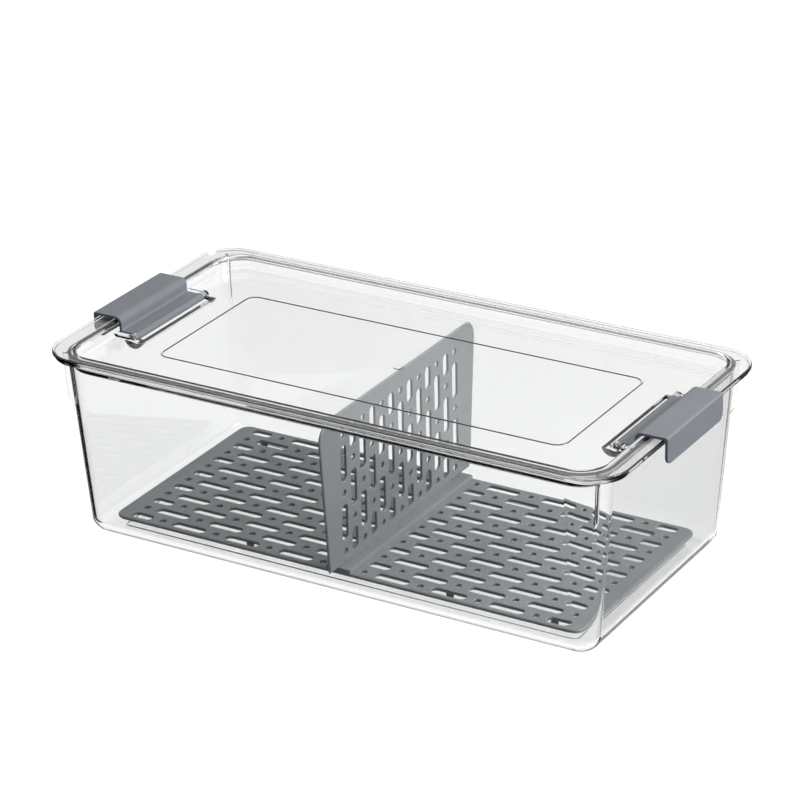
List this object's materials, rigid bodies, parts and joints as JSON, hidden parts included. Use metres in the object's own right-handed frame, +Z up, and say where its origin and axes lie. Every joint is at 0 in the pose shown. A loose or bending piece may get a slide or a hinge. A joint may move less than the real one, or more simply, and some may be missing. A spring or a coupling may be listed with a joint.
{
  "type": "food storage box",
  "caption": "Clear tapered storage box with a set-down lid held by hinged end clips, a raised perforated drain tray and an upright perforated divider.",
  "frame": {"origin": "middle of the base, on the surface that the box stands on", "axes": "+X along the length towards the right-hand clip, +Y to the back, +Z up"},
  "size_m": [0.325, 0.166, 0.102],
  "materials": {
    "clear_plastic": "clear moulded plastic, smooth and glossy",
    "clip_grey": "blue-grey moulded plastic, satin",
    "tray_grey": "grey moulded plastic, satin",
    "divider_grey": "grey moulded plastic, satin"
  },
  "bodies": {
    "tub": {"tub": "clear_plastic"},
    "lid": {"lid": "clear_plastic"},
    "clip_left": {"clip_left": "clip_grey"},
    "clip_right": {"clip_right": "clip_grey"},
    "drain_tray": {"drain_tray": "tray_grey"},
    "divider": {"divider": "divider_grey"}
  },
  "joints": [
    {"name": "lid_lift", "type": "slide", "parent": "tub", "child": "lid", "axis": [0, 0, 1], "range_m": [0, 0.25]},
    {"name": "clip_left_swing", "type": "hinge", "parent": "lid", "child": "clip_left", "pos_m": [-0.13678, 0, 0.0931], "axis": [0, 1, 0], "range_deg": [0, 120]},
    {"name": "clip_right_swing", "type": "hinge", "parent": "lid", "child": "clip_right", "pos_m": [0.13678, 0, 0.0931], "axis": [0, -1, 0], "range_deg": [0, 120]},
    {"name": "tray_lift", "type": "slide", "parent": "tub", "child": "drain_tray", "axis": [0, 0, 1], "range_m": [0, 0.1]},
    {"name": "divider_lift", "type": "slide", "parent": "drain_tray", "child": "divider", "axis": [0, 0, 1], "range_m": [0, 0.1]}
  ],
  "couplings": [
    {"joint": "tray_lift", "follows": "lid_lift", "ratio": 0.4},
    {"joint": "divider_lift", "follows": "lid_lift", "ratio": 0.4}
  ]
}
